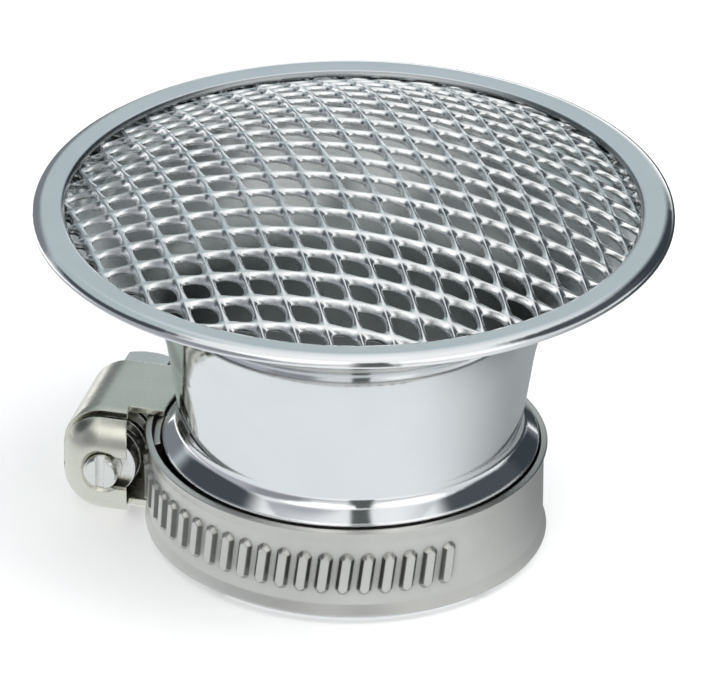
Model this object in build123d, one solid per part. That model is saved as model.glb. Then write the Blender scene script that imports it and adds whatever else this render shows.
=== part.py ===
from build123d import *
import os
from math import atan, cos, degrees, radians, sin, sqrt, tan

os.makedirs("parts", exist_ok=True)

# Driving dimensions, in millimetres and degrees. The stack stands on its socket, +Z up its axis.

# Socket that slides over the carburettor's inlet spigot
spigot_d = 32.0
socket_clearance = 0.05
socket_depth = 9.4
sleeve_wall = 1.15
slit_count = 4
slit_width = 2.0
slit_height = 7.5
edge_break = 0.3

# Collar that keeps the clamp on the sleeve
collar_lip = 0.2
collar_gap = 0.15
collar_edge = 0.15
shoulder_angle = 42.0
collar_fillet = 2.0

# Neck and flare of the bellmouth
neck_d = 31.4
neck_wall = 1.4
neck_taper = 8.8
flare_end_angle = 76.0

# Rolled rim, oval round its outer edge, with its inner lip
rim_d = 59.0
rim_height = 33.05
edge_width = 1.35
edge_depth = 0.85
edge_foot = -8.0
lip_width = 3.15
lip_thickness = 0.6
lip_slope = 5.0
lip_break = 0.3

# Domed expanded-metal screen, its edge held under the lip
screen_thickness = 0.5
screen_clearance = 0.03
screen_tuck = 1.4
seat_width = 0.5
dome_rise = 6.5
dome_gap = 0.25
diamond_long = 5.1
diamond_short = 3.35
diamond_turn = -41.8
strand_width = 0.6
opening_offset_x = 1.55
opening_offset_y = -0.44
smallest_opening = 0.5

# Clamp band, a strip with pressed thread ridges and outward-turned edges
band_width = 9.0
band_thickness = 0.6
band_lift = 0.7
band_clearance = 0.03
lap_gap = 0.05
edge_turn = 0.35
edge_turn_height = 1.2
lap_start = 105.0
lap_end = 160.0
tail_end = 236.0
tail_corner = 2.5
ridge_pitch = 1.95
ridge_length = 4.4
ridge_width = 1.55
ridge_height = 0.45
ridge_sink = 0.15
ridge_taper = 33.0
ridge_slant = -7.0
first_ridge = 45.0
plain_tail = 3.0

# Worm housing and screw, on the band's left side and turned a little towards the front
clamp_turn = -15.0
worm_d = 5.8
worm_clearance = 0.2
housing_wall = 0.6
housing_side_gap = 0.05
housing_collar_gap = 0.15
housing_reach = 4.4
housing_corner = 4.0
housing_rear = 7.4
housing_front = -2.4
nose_length = 2.6
nose_round = 3.4
nose_slot = 0.8
nose_slot_drop = 1.0
nose_gap = 1.6
plate_gap = 0.3
end_plate = 0.9
tip_d = 3.3
tip_stand = 0.5
tip_chamfer = 0.25
tip_countersink = 0.45
tip_slot_depth = 0.6
worm_set_back = 0.8
journal_d = 4.0
running_clearance = 0.06
end_float = 0.1
head_flange_d = 7.6
head_flange = 0.8
head_hex = 7.0
head_height = 4.0
head_chamfer = 0.5
drive_slot = 0.8
drive_slot_depth = 1.1

# Derived sizes of the stack
socket_r = spigot_d / 2 + socket_clearance
sleeve_r = socket_r + sleeve_wall
collar_r = sleeve_r + collar_lip
band_top = band_lift + band_width
band_middle = band_lift + band_width / 2
collar_bottom = band_top + collar_gap
collar_edge_top = collar_bottom + collar_edge
neck_r = neck_d / 2
neck_foot = collar_edge_top + (collar_r - neck_r) * tan(radians(shoulder_angle))
throat_r = neck_r - neck_wall

rim_r = rim_d / 2
lip_r = rim_r - lip_width
lip_under = rim_height + edge_depth - lip_thickness
seat_z = lip_under - screen_thickness - 2 * screen_clearance
groove_r = lip_r + screen_tuck

# Derived plan of the clamp, before its turn: housing on -X, screw along Y with its head at +Y.
# The strip runs clockwise round the sleeve, climbs over its own end and leaves through the housing.
strip_r = sleeve_r + band_clearance
turn_angle = atan(edge_turn / edge_turn_height)
lap = (band_thickness + lap_gap) / cos(turn_angle)
climb_angle = lap_end - lap_start
climb_growth = lap / (1 - cos(radians(climb_angle)))
climb_centre = Vector(-climb_growth, 0).rotate(Axis.Z, -lap_start)
outer_centre = climb_centre + Vector(climb_growth * cos(radians(climb_angle)), 0).rotate(Axis.Z, -lap_end)
strip_runs = [
    (Vector(0, 0), strip_r, lap_end - 360, lap_start),
    (climb_centre, strip_r + climb_growth, lap_start, lap_end),
    (outer_centre, strip_r + lap, lap_end, tail_end),
]
crest_r = strip_r + lap + band_thickness + ridge_height
screw_x = outer_centre.X - crest_r - worm_clearance - worm_d / 2
screw_axis = Pos(screw_x, 0, band_middle) * Rot(-90, 0, 0)
nose_front = housing_front - nose_length
clamp_frame = Rot(0, 0, clamp_turn)


def flare_arc(foot_r, foot_z, end_r, end_z):
    """Start, middle and end of the arc that leaves the tapered neck and reaches the rim."""
    first = radians(neck_taper)
    last = radians(flare_end_angle)
    run = cos(first) - cos(last)
    rise = sin(last) - sin(first)
    slope = tan(first)
    radius = (end_r - foot_r - (end_z - foot_z) * slope) / (run - rise * slope)
    start_z = end_z - radius * rise
    start_r = foot_r + (start_z - foot_z) * slope
    centre_r = start_r + radius * cos(first)
    centre_z = start_z - radius * sin(first)
    middle = (first + last) / 2
    middle_point = (centre_r - radius * cos(middle), centre_z + radius * sin(middle))
    return (start_r, start_z), middle_point, (end_r, end_z)


def spin(*outline):
    """Solid of revolution about Z from a closed outline of radius and height."""
    return revolve(Plane.XZ * make_face(outline), Axis.Z)


def make_stack_body():
    """Spun aluminium bellmouth with its slit socket, collar, neck, flare and rolled rim."""
    edge_end = 180 - degrees(atan(edge_depth / edge_width / tan(radians(lip_slope))))
    edge_centre = (rim_r - edge_width, rim_height)
    edge_sweep = edge_end - edge_foot
    rim_edge = EllipticalCenterArc(edge_centre, edge_width, edge_depth, edge_foot, arc_size=edge_sweep)
    rim_foot = rim_edge @ 0
    rim_top = rim_edge @ 1
    lip_top = rim_top.Y - (rim_top.X - lip_r) * tan(radians(lip_slope))
    outer = flare_arc(neck_r, neck_foot, rim_foot.X, rim_foot.Y)
    inner = flare_arc(throat_r, socket_depth, groove_r - seat_width, seat_z)

    shoulder = radians(shoulder_angle)
    taper = radians(neck_taper)
    bend = collar_fillet * tan((radians(90) - taper - shoulder) / 2)
    fillet_low = (neck_r + bend * cos(shoulder), neck_foot - bend * sin(shoulder))
    fillet_high = (neck_r + bend * sin(taper), neck_foot + bend * cos(taper))

    inside = Polyline(
        (sleeve_r - edge_break, 0),
        (socket_r + edge_break, 0),
        (socket_r, edge_break),
        (socket_r, socket_depth),
        (throat_r, socket_depth),
        inner[0],
    )
    lip = Polyline(
        inner[2],
        (groove_r, seat_z),
        (groove_r, lip_under),
        (lip_r, lip_under),
        (lip_r, lip_top - lip_break),
        (lip_r + lip_break, lip_top + lip_break * tan(radians(lip_slope))),
        rim_top,
    )
    collar = Polyline(
        fillet_low,
        (collar_r, collar_edge_top),
        (collar_r, collar_bottom),
        (sleeve_r, collar_bottom),
        (sleeve_r, edge_break),
        (sleeve_r - edge_break, 0),
    )
    body = spin(
        inside,
        ThreePointArc(*inner),
        lip,
        rim_edge,
        ThreePointArc(*outer),
        Line(outer[0], fillet_high),
        TangentArc(fillet_high, fillet_low, tangent=(-sin(taper), -cos(taper))),
        collar,
    )
    slit = Box(4 * sleeve_wall, slit_width, slit_height)
    slit = Pos(socket_r + sleeve_wall / 2, 0, slit_height / 2) * slit
    for place in PolarLocations(0, slit_count, start_angle=45):
        body -= place * slit
    return body


def make_mesh_screen():
    """Expanded-metal disc pressed to a dome, with its flat edge tucked under the lip."""
    low = seat_z + screen_clearance
    high = low + screen_thickness
    dome_r = lip_r - dome_gap
    sphere_r = (dome_r**2 + dome_rise**2) / (2 * dome_rise)
    centre_z = low + dome_rise - sphere_r
    outer_sphere = sphere_r + screen_thickness
    outer_r = sqrt(outer_sphere**2 - (high - centre_z) ** 2)
    half = dome_r / 2
    half_low = centre_z + sqrt(sphere_r**2 - half**2)
    half_high = centre_z + sqrt(outer_sphere**2 - half**2)
    edge_r = groove_r - screen_clearance
    shell = spin(
        ThreePointArc((0, low + dome_rise), (half, half_low), (dome_r, low)),
        Polyline((dome_r, low), (edge_r, low), (edge_r, high), (outer_r, high)),
        ThreePointArc((outer_r, high), (half, half_high), (0, high + dome_rise)),
        Line((0, high + dome_rise), (0, low + dome_rise)),
    )

    side = sqrt(diamond_long**2 + diamond_short**2) / 2
    strand_spacing = diamond_long * diamond_short / 2 / side
    open_share = 1 - strand_width / strand_spacing
    half_long = diamond_long * open_share / 2
    half_short = diamond_short * open_share / 2
    corners = [(half_long, 0), (0, half_short), (-half_long, 0), (0, -half_short)]
    diamond = make_face(Polyline(*corners, close=True))
    middle = Location((opening_offset_x, opening_offset_y, 0), (0, 0, diamond_turn))
    screen_circle = Circle(lip_r)
    cut_base = Pos(0, 0, low - screen_thickness)
    cut_height = dome_rise + 3 * screen_thickness
    reach = int(2 * lip_r / diamond_short) + 1
    cutters = []
    for row in range(-reach, reach + 1):
        for column in range(-reach, reach + 1):
            place = middle * Pos(column * diamond_long / 2, row * diamond_short / 2)
            distance = place.position.length
            if (row + column) % 2 or distance > lip_r + half_long:
                continue
            opening = place * diamond
            if distance > lip_r - half_long:
                opening = opening & screen_circle
            for face in opening.faces():
                if face.area > smallest_opening:
                    cutters.append(extrude(cut_base * face, cut_height))
    return shell - cutters


def strip_section(inner_r):
    """Section of the strip at an inner radius: straight in the middle, both edges turned outwards."""
    outer_r = inner_r + band_thickness
    bend_rise = edge_turn_height + band_thickness * tan(turn_angle / 2)
    edge_r = inner_r + edge_turn + band_thickness * cos(turn_angle)
    edge_rise = band_thickness * sin(turn_angle)
    lower = [
        (outer_r, bend_rise),
        (edge_r, edge_rise),
        (inner_r + edge_turn, 0),
        (inner_r, edge_turn_height),
    ]
    upper = [(radius, band_width - rise) for radius, rise in reversed(lower)]
    return Plane.XZ * Pos(0, band_lift) * make_face(Polyline(*lower, *upper, close=True))


def make_clamp_band():
    """Clamp strip lapped over its own end, with thread ridges pressed out of its free half."""
    band = None
    for centre, inner_r, start, end in strip_runs:
        run = Pos(centre) * Rot(0, 0, -end) * revolve(strip_section(inner_r), Axis.Z, end - start)
        band = run if band is None else band + run

    blank = RectangleRounded(4 * tail_corner, band_width, tail_corner)
    corners = Pos(-tail_corner, 0) * Rectangle(2 * tail_corner, band_width) - blank
    trim = Pos(strip_r, 2 * tail_corner, band_middle) * extrude(Plane.YZ * corners, 4 * band_thickness)
    band -= Pos(outer_centre) * Rot(0, 0, -tail_end) * trim

    blunt = Rectangle(ridge_width, ridge_length)
    outline = Plane.YZ * Rot(0, 0, ridge_slant) * chamfer(blunt.vertices(), ridge_width / 3)
    ridge = extrude(outline, ridge_height + ridge_sink, taper=ridge_taper)
    ridge = Pos(-ridge_sink, 0, band_middle) * ridge
    ridges = []
    along = radians(first_ridge - strip_runs[0][2]) * (strip_r + band_thickness)
    for centre, inner_r, start, end in strip_runs:
        face_r = inner_r + band_thickness
        length = radians(end - start) * face_r
        stop = length - plain_tail if end == tail_end else length
        while along < stop:
            angle = start + degrees(along / face_r)
            ridges.append(Pos(centre) * Rot(0, 0, -angle) * Pos(face_r, 0, 0) * ridge)
            along += ridge_pitch
        along -= length
    return band + ridges


def housing_blank(inset, rear):
    """Outside of the housing with its rounded nose, or its inside when inset by the wall."""
    half_height = band_width / 2 + housing_side_gap + housing_wall - inset
    reach = housing_reach - inset
    section = Pos(reach, 0) * RectangleRounded(4 * reach, 2 * half_height, housing_corner - inset)
    placed = Plane.XZ * Pos(screw_x, band_middle) * section
    blank = Pos(0, rear, 0) * extrude(placed, rear - nose_front - inset)
    return fillet(blank.faces().sort_by(Axis.Y)[0].edges(), nose_round - inset)


def make_worm_housing():
    """Stamped housing folded round the band: slit-off domed nose with the tip's hole, rear end plate."""
    housing = housing_blank(0, housing_rear) - housing_blank(housing_wall, housing_rear - end_plate)
    housing -= Cylinder(collar_r + housing_collar_gap, 4 * band_width)

    band_room = Cylinder(crest_r + plate_gap, band_width + 2 * housing_side_gap)
    housing -= Pos(outer_centre.X, outer_centre.Y, band_middle) * band_room
    front = Box(2 * rim_d, 2 * rim_d, 2 * rim_d, align=(Align.CENTER, Align.MAX, Align.CENTER))
    nose_room = Cylinder(crest_r + nose_gap, 4 * band_width) & Pos(0, housing_front, 0) * front
    housing -= Pos(outer_centre) * nose_room
    slot_z = band_middle - nose_slot_drop
    slot = Box(4 * housing_reach, nose_slot, band_width, align=(Align.CENTER, Align.MAX, Align.MIN))
    housing -= Pos(screw_x, housing_front, slot_z) * slot

    hole_r = tip_d / 2 + running_clearance
    tip_hole = Pos(0, 0, nose_front) * Cylinder(hole_r, 4 * housing_wall)
    tip_hole += Pos(0, 0, nose_front) * Cone(hole_r + 2 * tip_countersink, hole_r, 2 * tip_countersink)
    inwards = (Align.MIN, Align.CENTER, Align.CENTER)
    tip_hole += Pos(0, 0, nose_front) * Box(2 * housing_reach, tip_d, 4 * housing_wall, align=inwards)
    journal_hole = Pos(0, 0, housing_rear) * Cylinder(journal_d / 2 + running_clearance, 4 * end_plate)
    return housing - screw_axis * (tip_hole + journal_hole)


def make_worm_screw():
    """Worm screw: slotted tip, thread body, journal and flanged hexagon head with a slot."""
    standing = (Align.CENTER, Align.CENTER, Align.MIN)
    tip_end = nose_front - tip_stand
    worm_front = nose_front + housing_wall + worm_set_back
    worm_rear = housing_rear - end_plate - end_float
    flange_front = housing_rear + end_float
    head_front = flange_front + head_flange
    head_end = head_front + head_height

    tip = Pos(0, 0, tip_end) * Cylinder(tip_d / 2, worm_front - tip_end, align=standing)
    tip = chamfer(tip.edges().sort_by(Axis.Z)[0], tip_chamfer)
    worm = Pos(0, 0, worm_front) * Cylinder(worm_d / 2, worm_rear - worm_front, align=standing)
    journal = Pos(0, 0, worm_rear) * Cylinder(journal_d / 2, flange_front - worm_rear, align=standing)
    flange = Pos(0, 0, flange_front) * Cylinder(head_flange_d / 2, head_flange, align=standing)
    hex_outline = RegularPolygon(head_hex / 2, 6, major_radius=False)
    hexagon = Pos(0, 0, head_front) * extrude(hex_outline, head_height)
    corner_r = head_hex / 2 / cos(radians(30))
    turned = Pos(0, 0, head_front) * Cylinder(corner_r, head_height, align=standing)
    turned = chamfer(turned.edges().sort_by(Axis.Z)[-1], head_chamfer)
    screw = tip + worm + journal + flange + (hexagon & turned)
    screw -= Pos(0, 0, head_end) * Box(2 * head_hex, drive_slot, 2 * drive_slot_depth)
    screw -= Pos(0, 0, tip_end) * Box(drive_slot, 2 * tip_d, 2 * tip_slot_depth)
    return screw_axis * screw


export_step(make_stack_body(), "parts/stack_body.step")
export_step(make_mesh_screen(), "parts/mesh_screen.step")
export_step(clamp_frame * make_clamp_band(), "parts/clamp_band.step")
export_step(clamp_frame * make_worm_housing(), "parts/worm_housing.step")
export_step(clamp_frame * make_worm_screw(), "parts/worm_screw.step")
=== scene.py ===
import bmesh
import bpy
import math
from mathutils import Matrix, Vector


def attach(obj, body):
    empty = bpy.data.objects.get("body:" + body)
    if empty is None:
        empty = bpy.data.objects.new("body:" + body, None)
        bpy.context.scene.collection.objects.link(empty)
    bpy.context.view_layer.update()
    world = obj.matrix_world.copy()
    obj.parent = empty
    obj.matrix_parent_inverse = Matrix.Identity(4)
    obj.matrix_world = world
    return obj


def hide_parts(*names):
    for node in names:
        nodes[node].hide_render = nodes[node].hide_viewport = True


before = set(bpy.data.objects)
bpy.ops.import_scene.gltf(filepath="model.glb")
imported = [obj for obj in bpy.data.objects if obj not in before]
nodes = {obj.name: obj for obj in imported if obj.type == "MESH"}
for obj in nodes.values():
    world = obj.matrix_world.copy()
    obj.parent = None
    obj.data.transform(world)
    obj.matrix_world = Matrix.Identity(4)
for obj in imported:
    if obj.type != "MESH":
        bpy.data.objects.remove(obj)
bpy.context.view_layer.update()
scene = bpy.context.scene
MM = 0.001


class Nodes:
    """Short calls for building a node tree."""

    def __init__(self, tree):
        self.tree = tree
        tree.nodes.clear()

    def add(self, kind, **values):
        node = self.tree.nodes.new(kind)
        for name, value in values.items():
            setattr(node, name, value)
        return node

    def link(self, source, target):
        self.tree.links.new(source, target)

    def math(self, operation, a, b=None):
        node = self.add("ShaderNodeMath", operation=operation)
        for socket, value in zip(node.inputs, (a, b)):
            if value is None:
                continue
            if isinstance(value, (int, float)):
                socket.default_value = value
            else:
                self.link(value, socket)
        return node.outputs[0]

    def flat(self, colour):
        node = self.add("ShaderNodeRGB")
        node.outputs[0].default_value = (*colour, 1.0)
        return node.outputs[0]

    def ramp(self, factor, stops):
        node = self.add("ShaderNodeValToRGB")
        elements = node.color_ramp.elements
        while len(elements) < len(stops):
            elements.new(0.5)
        for element, (place, colour) in zip(elements, stops):
            element.position = place
            element.color = (*colour, 1.0)
        self.link(factor, node.inputs["Fac"])
        return node.outputs["Color"]

    def fade(self, value, start, end):
        """Smooth step of a value: 0 at start, 1 at end."""
        node = self.add("ShaderNodeMapRange", interpolation_type="SMOOTHSTEP")
        node.inputs["From Min"].default_value = start
        node.inputs["From Max"].default_value = end
        self.link(value, node.inputs["Value"])
        return node.outputs["Result"]

    def noise(self, vector, scale, detail=4.0, roughness=0.55):
        node = self.add("ShaderNodeTexNoise")
        node.inputs["Scale"].default_value = scale
        node.inputs["Detail"].default_value = detail
        node.inputs["Roughness"].default_value = roughness
        self.link(vector, node.inputs["Vector"])
        return node.outputs["Fac"]

    def mix(self, factor, a, b):
        node = self.add("ShaderNodeMix", data_type="RGBA")
        self.link(factor, node.inputs["Factor"])
        self.link(a, node.inputs["A"])
        self.link(b, node.inputs["B"])
        return node.outputs["Result"]

    def scaled(self, vector, factors):
        node = self.add("ShaderNodeVectorMath", operation="MULTIPLY")
        self.link(vector, node.inputs[0])
        node.inputs[1].default_value = factors
        return node.outputs[0]

    def dot(self, a, b):
        node = self.add("ShaderNodeVectorMath", operation="DOT_PRODUCT")
        self.link(a, node.inputs[0])
        if isinstance(b, Vector):
            node.inputs[1].default_value = b
        else:
            self.link(b, node.inputs[1])
        return node.outputs["Value"]

    def split(self, vector):
        node = self.add("ShaderNodeSeparateXYZ")
        self.link(vector, node.inputs[0])
        return node.outputs


def grey(value):
    return (value, value, value)


# Finish that the metals share. Pairs are the start and end of a fade, or the ends of a ramp.
mottle_scale = 90.0
mottle_ends = (0.35, 0.65)
line_scale = 1.0
line_detail = 6.0
line_roughness = 0.6
line_ends = (0.3, 0.7)
line_depth = 0.05 * MM
edge_samples = 8

# Painted shade on the ridges' flanks, which lean away from straight outwards without facing up or down, and
# in the grooves beside them
flank_lean = (0.97, 0.66)
flank_level = (0.45, 0.25)
groove_openness = (0.95, 0.65)
groove_reach = 1.0 * MM

# Painted shade inside the bellmouth: heights where its wall's painted shade turns lighter and where its
# darker painted lip begins, and the cosine to straight outwards below which a surface counts as inside
wall_heights = (24.0 * MM, 27.5 * MM)
lip_foot = 32.8 * MM
inner_facing = -0.2
inner_rough = (0.20, 0.30)
inner_rough_ends = (0.3, 0.7)


def grey_ramp(n, factor, ends, values):
    """Grey ramp between two values, which lie at the two ends of the factor."""
    return n.ramp(factor, [(end, grey(value)) for end, value in zip(ends, values)])


def outward_direction(n, position):
    """Unit direction away from the stack's axis."""
    node = n.add("ShaderNodeVectorMath", operation="NORMALIZE")
    n.link(n.scaled(position, (1, 1, 0)), node.inputs[0])
    return node.outputs["Vector"]


def painted_ridge_shade_mask(n, position, soft_normal):
    """Mask of the ridges' flanks and of the grooves beside them, where shade is painted."""
    lean = n.dot(outward_direction(n, position), soft_normal)
    level = n.math("ABSOLUTE", n.split(soft_normal)["Z"])
    flank = n.math("MULTIPLY", n.fade(lean, *flank_lean), n.fade(level, *flank_level))
    closeness = n.add("ShaderNodeAmbientOcclusion", samples=edge_samples, only_local=True)
    closeness.inputs["Distance"].default_value = groove_reach
    groove = n.fade(closeness.outputs["AO"], *groove_openness)
    return n.math("MAXIMUM", flank, groove)


def inner_painted_shade(n, position, deep, mouth, lip):
    """Painted shade of the surfaces that face the axis: deep down, near the mouth and on the lip."""
    height = n.split(position)["Z"]
    wall = n.mix(n.fade(height, *wall_heights), n.flat(deep), n.flat(mouth))
    return n.mix(n.math("GREATER_THAN", height, lip_foot), wall, n.flat(lip))


def metal(name, dark, light, rough, grain, grain_bump, round_edge, painted_ridge_shade=None, inside=None):
    """Metal with a mottled colour, a roughness that varies, and fine lines.

    grain is the lines' fineness along X, Y and Z: where it is finest along Z, they run round the part.
    round_edge is the radius of softened edges, grime the colour of the shade painted on the ridges' flanks
    and in the grooves beside them, and inside the three colours of the shade painted on the surfaces that
    face the axis.
    """
    material = bpy.data.materials.new(name)
    material.use_nodes = True
    n = Nodes(material.node_tree)
    place = n.add("ShaderNodeTexCoord").outputs["Object"]
    mottle = n.noise(place, mottle_scale)
    lines = n.noise(n.scaled(place, grain), line_scale, line_detail, line_roughness)
    colour = n.ramp(mottle, list(zip(mottle_ends, (dark, light))))
    roughness = grey_ramp(n, lines, line_ends, rough)
    surface = n.add("ShaderNodeNewGeometry").outputs
    position = surface["Position"]
    soft = n.add("ShaderNodeBevel", samples=edge_samples)
    soft.inputs["Radius"].default_value = round_edge
    # Painted shade on the ridges' flanks and in the grooves beside them
    if painted_ridge_shade:
        colour = n.mix(painted_ridge_shade_mask(n, position, soft.outputs["Normal"]), colour, n.flat(painted_ridge_shade))
    # Painted shade on the surfaces that face the axis, darker deep down and on the lip
    if inside:
        facing = n.dot(outward_direction(n, position), surface["True Normal"])
        inner = n.math("LESS_THAN", facing, inner_facing)
        colour = n.mix(inner, colour, inner_painted_shade(n, position, *inside))
        roughness = n.mix(inner, roughness, grey_ramp(n, mottle, inner_rough_ends, inner_rough))
    shader = n.add("ShaderNodeBsdfPrincipled")
    shader.inputs["Metallic"].default_value = 1.0
    n.link(colour, shader.inputs["Base Color"])
    n.link(roughness, shader.inputs["Roughness"])
    bump = n.add("ShaderNodeBump")
    bump.inputs["Strength"].default_value = grain_bump
    bump.inputs["Distance"].default_value = line_depth
    n.link(lines, bump.inputs["Height"])
    n.link(soft.outputs["Normal"], bump.inputs["Normal"])
    n.link(bump.outputs["Normal"], shader.inputs["Normal"])
    n.link(shader.outputs["BSDF"], n.add("ShaderNodeOutputMaterial").inputs["Surface"])
    return material


polished = metal(
    "polished_aluminium",
    dark=(0.86, 0.875, 0.885),
    light=(0.91, 0.92, 0.93),
    rough=(0.06, 0.10),
    grain=(60, 60, 2600),
    grain_bump=0.03,
    round_edge=0.4 * MM,
    # Painted shade inside the bellmouth: deep down, near the mouth and on the lip
    inside=((0.60, 0.62, 0.62), (0.66, 0.68, 0.68), (0.40, 0.42, 0.43)),
)
bright_screen = metal(
    "screen_metal",
    dark=(0.80, 0.815, 0.82),
    light=(0.94, 0.95, 0.955),
    rough=(0.18, 0.32),
    grain=(900, 900, 900),
    grain_bump=0.08,
    round_edge=0.04 * MM,
)
band_steel = metal(
    "band_steel",
    dark=(0.66, 0.65, 0.615),
    light=(0.75, 0.74, 0.705),
    rough=(0.28, 0.42),
    grain=(90, 90, 4200),
    grain_bump=0.14,
    round_edge=0.25 * MM,
    # Colour of the shade painted on the ridges' flanks and grooves
    painted_ridge_shade=(0.17, 0.17, 0.155),
)
housing_steel = metal(
    "housing_steel",
    dark=(0.67, 0.67, 0.59),
    light=(0.79, 0.78, 0.69),
    rough=(0.20, 0.32),
    grain=(500, 500, 500),
    grain_bump=0.06,
    round_edge=0.2 * MM,
)
screw_steel = metal(
    "screw_steel",
    dark=(0.74, 0.74, 0.71),
    light=(0.88, 0.88, 0.85),
    rough=(0.18, 0.32),
    grain=(700, 700, 700),
    grain_bump=0.08,
    round_edge=0.15 * MM,
)


def dress(node, material):
    mesh = nodes[node].data
    mesh.materials.clear()
    mesh.materials.append(material)


dress("stack_body", polished)
dress("clamp_band", band_steel)
dress("worm_housing", housing_steel)
dress("worm_screw", screw_steel)


def new_object(name, bm, material, sharp):
    """Object made from a bmesh, shaded smooth up to a sharp angle in degrees."""
    bmesh.ops.recalc_face_normals(bm, faces=bm.faces)
    for face in bm.faces:
        face.smooth = True
    mesh = bpy.data.meshes.new(name)
    bm.to_mesh(mesh)
    bm.free()
    mesh.set_sharp_from_angle(angle=math.radians(sharp))
    mesh.materials.append(material)
    piece = bpy.data.objects.new(name, mesh)
    scene.collection.objects.link(piece)
    return piece


def bridge(bm, a, b):
    """Faces between two closed loops of as many vertices."""
    count = len(a)
    for k in range(count):
        after = (k + 1) % count
        bm.faces.new((a[k], a[after], b[after], b[k]))


# Expanded-metal screen: leaf-shaped openings between strands that slope into the opening on one side.
# Lengths are in millimetres.
diamond_long = 5.1
diamond_short = 3.35
diamond_turn = math.radians(-41.8)
opening_middle = Vector((1.55, -0.44, 0))
open_share = 0.80
open_bulge = 0.04
corner_power = 1.45
corner_bulge = 0.3
strand_slope = 0.34
slope_power = 1.5
strand_round = 0.12
strand_thickness = 0.22
screen_edge_r = 27.6
edge_overhang = 0.6
sphere_r = 56.15
sphere_z = -16.38
flange_z = 33.27
strand_depth = 0.1
side_steps = 7
strand_steps = 4
screen_sharp = 50

# Distances in metres within which the cells' vertices are joined and slivers are dropped
join_distance = 2e-6
sliver_distance = 1e-6


def screen_height(x, y):
    """Height of the strands, a little under the solid's dome, which ends in a flat edge under the lip."""
    r = math.hypot(x, y)
    return max(sphere_z + math.sqrt(max(sphere_r**2 - r * r, 0)), flange_z) - strand_depth


def opening_edge(u, w):
    """Point of the opening's edge in the direction u, w, and how far that direction leans to the far side.

    u and w are in half diagonals of the cell. The curve is scaled so that the middle of each side lies at
    the open share of the way from the opening's middle to the cell's side.
    """
    length = math.hypot(u, w)
    u, w = u / length, w / length
    power = corner_power + corner_bulge * w
    reach = (abs(u) ** power + abs(w) ** power) ** (-1 / power)
    middle = math.sqrt(2) * 2 ** (-1 / power)
    size = (open_share + open_bulge * w) * math.sqrt(0.5) / middle
    return u * reach * size, w * reach * size, w


def upper_lift(s, far):
    """Lift of a strand's upper side, the share s of the way to the opening's edge."""
    return -strand_round * s**2 - strand_slope * s**slope_power * (0.5 + 0.5 * far)


def lower_lift(s, far):
    """Lift of a strand's lower side, the share s of the way to the opening's edge."""
    return -strand_slope * s * (0.5 + 0.5 * far) - strand_round - strand_thickness


def cell_outline():
    """Points round a cell in half diagonals, each with its point of the opening's edge and its far side."""
    corners = [(1, 0), (0, 1), (-1, 0), (0, -1)]
    outline = []
    for (start_u, start_w), (end_u, end_w) in zip(corners, corners[1:] + corners[:1]):
        for step in range(side_steps):
            share = step / side_steps
            u = start_u + (end_u - start_u) * share
            w = start_w + (end_w - start_w) * share
            outline.append((u, w, *opening_edge(u, w)))
    return outline


def make_screen():
    bm = bmesh.new()
    turn = Matrix.Rotation(diamond_turn, 3, "Z")
    half_long = diamond_long / 2
    half_short = diamond_short / 2
    outline = cell_outline()

    def ring(centre, s, lift):
        """Ring of vertices, the share s of the way from the cell's edge to the opening's edge."""
        verts = []
        for u, w, inner_u, inner_w, far in outline:
            across = centre[0] + (u + (inner_u - u) * s) * half_long
            along = centre[1] + (w + (inner_w - w) * s) * half_short
            flat = opening_middle + turn @ Vector((across, along, 0))
            if flat.length > screen_edge_r:
                flat *= screen_edge_r / flat.length
            height = screen_height(flat.x, flat.y) + lift(s, far)
            verts.append(bm.verts.new(Vector((flat.x, flat.y, height)) * MM))
        return verts

    farthest = screen_edge_r + half_short * edge_overhang
    upper_shares = [step / strand_steps for step in range(strand_steps + 1)]
    reach = int(2 * screen_edge_r / diamond_short) + 1
    for row in range(-reach, reach + 1):
        for column in range(-reach, reach + 1):
            centre = (column * half_long, row * half_short)
            middle = opening_middle + turn @ Vector((*centre, 0))
            if (row + column) % 2 or middle.length > farthest:
                continue
            rings = [ring(centre, share, upper_lift) for share in upper_shares]
            rings += [ring(centre, 1, lower_lift), ring(centre, 0, lower_lift)]
            for a, b in zip(rings, rings[1:]):
                bridge(bm, a, b)
    bmesh.ops.remove_doubles(bm, verts=bm.verts, dist=join_distance)
    bmesh.ops.dissolve_degenerate(bm, dist=sliver_distance, edges=bm.edges)
    return new_object("expanded_screen", bm, bright_screen, screen_sharp)


screen = make_screen()
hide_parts("mesh_screen")
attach(screen, "stack")

# Thread of the worm screw, a low helical ridge round the plain worm. Lengths are in millimetres, and its
# foot is a share of its height, just inside the worm.
worm_middle = Vector((-21.735, 5.824, 5.2))
worm_axis = Vector((0.2588190, 0.9659258, 0))
worm_r = 2.9
thread_height = 0.14
thread_foot = -0.1
thread_base = 1.1
thread_crest = 0.5
thread_pitch = 1.95
thread_start = -3.0
thread_end = 5.8
turn_steps = 32
run_out_steps = 8
thread_sharp = 40


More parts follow.
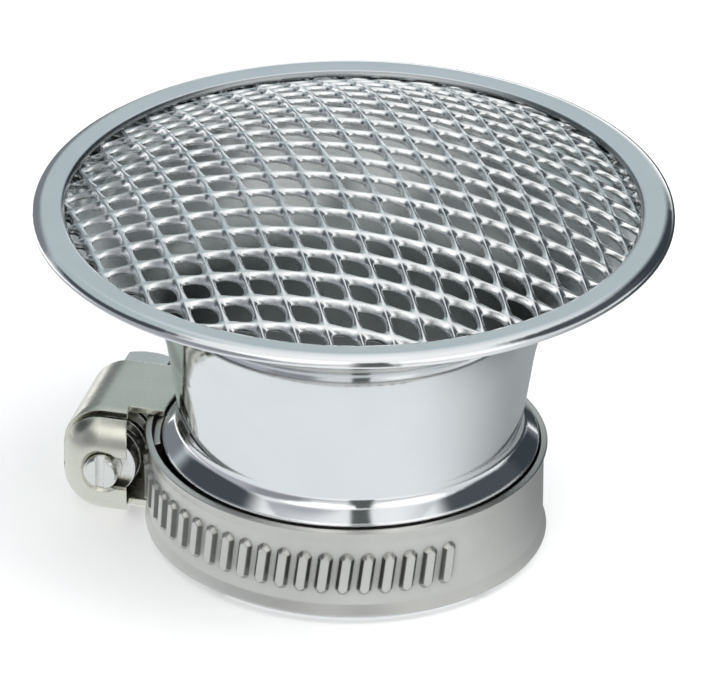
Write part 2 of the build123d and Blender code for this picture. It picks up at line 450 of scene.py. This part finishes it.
def make_thread():
    bm = bmesh.new()
    upwards = Vector((0, 0, 1))
    side = worm_axis.cross(upwards)
    steps = int((thread_end - thread_start) / thread_pitch * turn_steps)
    profile = [
        (-thread_base, thread_foot),
        (-thread_crest, 1),
        (thread_crest, 1),
        (thread_base, thread_foot),
    ]
    rows = []
    for step in range(steps + 1):
        angle = 2 * math.pi * step / turn_steps
        along = thread_start + thread_pitch * step / turn_steps
        swell = min(1, step / run_out_steps, (steps - step) / run_out_steps)
        out = math.cos(angle) * upwards - math.sin(angle) * side
        row = []
        for offset, height in profile:
            radius = worm_r + thread_height * (height * swell if height > 0 else height)
            spot = worm_middle + worm_axis * (along + offset / 2) + out * radius
            row.append(bm.verts.new(spot * MM))
        rows.append(row)
    for a, b in zip(rows, rows[1:]):
        bridge(bm, a, b)
    bm.faces.new(rows[0])
    bm.faces.new(rows[-1])
    return new_object("worm_thread", bm, screw_steel, thread_sharp)


thread = make_thread()
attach(thread, "screw")

# Stage: a white floor under a soft studio sky and a softbox. Places are in metres, bearings in radians
# from +X, and pairs are the start and end of a fade.

# Dark gap between the two light panels in front. On the floor it is a painted dark reflection that fades in
# with the distance, in the sky it fades out with the height.
gap_bearing = -1.44
gap_sides = (0.16, 0.09)
gap_colour = (0.10, 0.11, 0.11)
gap_floor_reach = (0.07, 0.11)
gap_sky_height = (0.83, 0.74)

# Painted reflection of the floor, seen only in the metal: painted shadow grey near the part, white in
# front, painted shade darker on the left, painted light bright behind
floor_size = 3.0
floor_z = -0.05 * MM
floor_colour = (0.9, 0.9, 0.9, 1.0)
floor_glow = 0.4
near_floor_shadow = (0.79, 0.82, 0.84)
floor_light_and_shade = [
    ("Y", (-0.035, -0.09), (1.0, 1.0, 1.0)),
    ("X", (-0.03, -0.10), (0.42, 0.42, 0.46)),
    ("Y", (0.03, 0.10), (1.4, 1.4, 1.4)),
]
# Painted shade on the floor inside the socket, as the metal's reflections see it
socket_floor_r = 0.0165
socket_floor_shade = (0.30, 0.31, 0.31)

# Painted shade on the right side of the floor's painted reflection, fullest far out and a little fuller
# close to the part, where it stands for the part's shadow
right_floor_shade = (0.04, 0.05, 0.055)
right_front = (-1.05, 0.35)
right_back = (1.9, 1.2)
right_close = (0.032, 0.024)
right_far = (0.04, 0.08)
right_close_share = 0.2
right_least = 0.6
right_growth = 0.4


def bearing_of(n, axes):
    """Angle round Z from +X."""
    return n.math("ARCTAN2", axes["Y"], axes["X"])


def gap_mask(n, bearing):
    """Mask of the gap, by the bearing's distance from the gap's."""
    return n.fade(n.math("ABSOLUTE", n.math("ADD", bearing, -gap_bearing)), *gap_sides)


def painted_floor_reflection(n):
    """Painted reflection of the floor, with painted light and shadow, as the metal's reflections see it."""
    place = n.add("ShaderNodeNewGeometry").outputs["Position"]
    axes = n.split(place)
    reach = n.math("SQRT", n.dot(place, place))
    bearing = bearing_of(n, axes)
    colour = n.flat(near_floor_shadow)
    for axis, span, side_colour in floor_light_and_shade:
        colour = n.mix(n.fade(axes[axis], *span), colour, n.flat(side_colour))

    right_side = n.math("MULTIPLY", n.fade(bearing, *right_front), n.fade(bearing, *right_back))
    close = n.math("MULTIPLY", n.fade(reach, *right_close), right_close_share)
    depth = n.math("ADD", close, n.fade(reach, *right_far))
    depth = n.math("ADD", n.math("MULTIPLY", depth, right_growth), right_least)
    colour = n.mix(n.math("MULTIPLY", right_side, depth), colour, n.flat(right_floor_shade))

    gap = n.math("MULTIPLY", gap_mask(n, bearing), n.fade(reach, *gap_floor_reach))
    colour = n.mix(gap, colour, n.flat(gap_colour))
    return n.mix(n.math("LESS_THAN", reach, socket_floor_r), colour, n.flat(socket_floor_shade))


def floor_material():
    """White floor with a glow for the camera, and a painted reflection with painted light and shadow in the
    metal's reflections.
    """
    material = bpy.data.materials.new("floor_white")
    material.use_nodes = True
    n = Nodes(material.node_tree)
    light = n.add("ShaderNodeLightPath")
    # Painted reflection of the floor: an emission that only the metal's glossy rays see
    painted_reflection = n.add("ShaderNodeEmission")
    n.link(painted_floor_reflection(n), painted_reflection.inputs["Color"])
    diffuse = n.add("ShaderNodeBsdfDiffuse")
    diffuse.inputs["Color"].default_value = floor_colour
    glow = n.add("ShaderNodeEmission")
    n.link(n.math("MULTIPLY", light.outputs["Is Camera Ray"], floor_glow), glow.inputs["Strength"])
    lit = n.add("ShaderNodeAddShader")
    n.link(diffuse.outputs["BSDF"], lit.inputs[0])
    n.link(glow.outputs["Emission"], lit.inputs[1])
    either = n.add("ShaderNodeMixShader")
    n.link(light.outputs["Is Glossy Ray"], either.inputs[0])
    n.link(lit.outputs["Shader"], either.inputs[1])
    n.link(painted_reflection.outputs["Emission"], either.inputs[2])
    n.link(either.outputs["Shader"], n.add("ShaderNodeOutputMaterial").inputs["Surface"])
    return material


bpy.ops.mesh.primitive_plane_add(size=floor_size, location=(0, 0, floor_z))
floor = bpy.context.object
floor.name = "studio_floor"
floor.data.materials.append(floor_material())

# Sky in front and behind, by the sine of its elevation
front_sky = [
    (0.0, (0.42, 0.43, 0.44)),
    (0.2, (0.72, 0.73, 0.74)),
    (0.6, (0.95, 0.96, 0.96)),
    (1.0, (1.0, 1.0, 1.0)),
]
back_sky = [
    (0.0, (1.40, 1.42, 1.44)),
    (0.18, (0.85, 0.88, 0.90)),
    (0.3, (0.46, 0.53, 0.54)),
    (0.6, (0.42, 0.50, 0.54)),
    (1.0, (0.95, 0.95, 0.95)),
]

# Soft round patches of sky: direction, cosines where each is full and where it ends, colour
patches = [
    ((-0.27, -0.66, 0.70), 0.97, 0.91, (1.35, 1.35, 1.33)),
    ((0.53, -0.63, 0.57), 0.97, 0.90, (1.20, 1.20, 1.18)),
    ((-0.80, -0.56, 0.21), 0.94, 0.82, (0.28, 0.29, 0.31)),
    ((0.66, 0.66, 0.36), 0.95, 0.86, (0.04, 0.05, 0.06)),
    ((0.74, 0.20, 0.64), 0.95, 0.88, (0.07, 0.08, 0.09)),
    ((-0.93, 0.10, 0.12), 0.94, 0.80, (0.42, 0.43, 0.47)),
    ((-0.79, 0.21, 0.58), 0.95, 0.87, (0.06, 0.07, 0.08)),
    ((-0.47, 0.88, 0.09), 0.95, 0.88, (0.20, 0.22, 0.24)),
    ((-0.46, 0.51, 0.73), 0.98, 0.93, (0.45, 0.53, 0.54)),
]


def make_sky():
    """World of a sky from front to back, its patches and the dark gap between the light panels."""
    world = bpy.data.worlds.new("studio_sky")
    world.use_nodes = True
    n = Nodes(world.node_tree)
    sight = n.add("ShaderNodeTexCoord").outputs["Generated"]
    axes = n.split(sight)
    backwards = n.math("ADD", n.math("MULTIPLY", axes["Y"], 0.5), 0.5)
    colour = n.mix(backwards, n.ramp(axes["Z"], front_sky), n.ramp(axes["Z"], back_sky))
    for direction, full, end, patch_colour in patches:
        share = n.fade(n.dot(sight, Vector(direction).normalized()), end, full)
        colour = n.mix(share, colour, n.flat(patch_colour))
    gap = n.math("MULTIPLY", gap_mask(n, bearing_of(n, axes)), n.fade(axes["Z"], *gap_sky_height))
    colour = n.mix(gap, colour, n.flat(gap_colour))
    background = n.add("ShaderNodeBackground")
    n.link(colour, background.inputs["Color"])
    n.link(background.outputs["Background"], n.add("ShaderNodeOutputWorld").inputs["Surface"])
    return world


scene.world = make_sky()

# Softbox above on the right, kept out of the metal's reflections
softbox_place = Vector((0.25, -0.10, 0.60))
softbox_aim = Vector((0, 0, 0.02))
softbox = bpy.data.lights.new("softbox_right", "AREA")
softbox.shape = "RECTANGLE"
softbox.size = 0.4
softbox.size_y = 0.5
softbox.energy = 2.0
lamp = bpy.data.objects.new("softbox_right", softbox)
scene.collection.objects.link(lamp)
lamp.location = softbox_place
lamp.rotation_euler = (softbox_aim - softbox_place).to_track_quat("-Z", "Y").to_euler()
lamp.visible_glossy = False

# Camera at the photograph's angle
camera_distance = 1.5
camera_elevation = math.radians(28.62)
camera_roll = math.radians(0.548)
camera_aim = Vector((0.000324, 0.0, 0.018797))
forward = Vector((0, math.cos(camera_elevation), -math.sin(camera_elevation)))
level = Vector((1, 0, 0))
upright = level.cross(forward)
right = math.cos(camera_roll) * level + math.sin(camera_roll) * upright
up = math.cos(camera_roll) * upright - math.sin(camera_roll) * level
lens = bpy.data.cameras.new("photo_camera")
lens.lens = 827.5
lens.sensor_width = 36.0
lens.clip_end = 10.0
camera = bpy.data.objects.new("photo_camera", lens)
scene.collection.objects.link(camera)
turned = Matrix((right, up, -forward)).transposed().to_4x4()
camera.matrix_world = Matrix.Translation(camera_aim - camera_distance * forward) @ turned
scene.camera = camera

scene.view_settings.view_transform = "Standard"
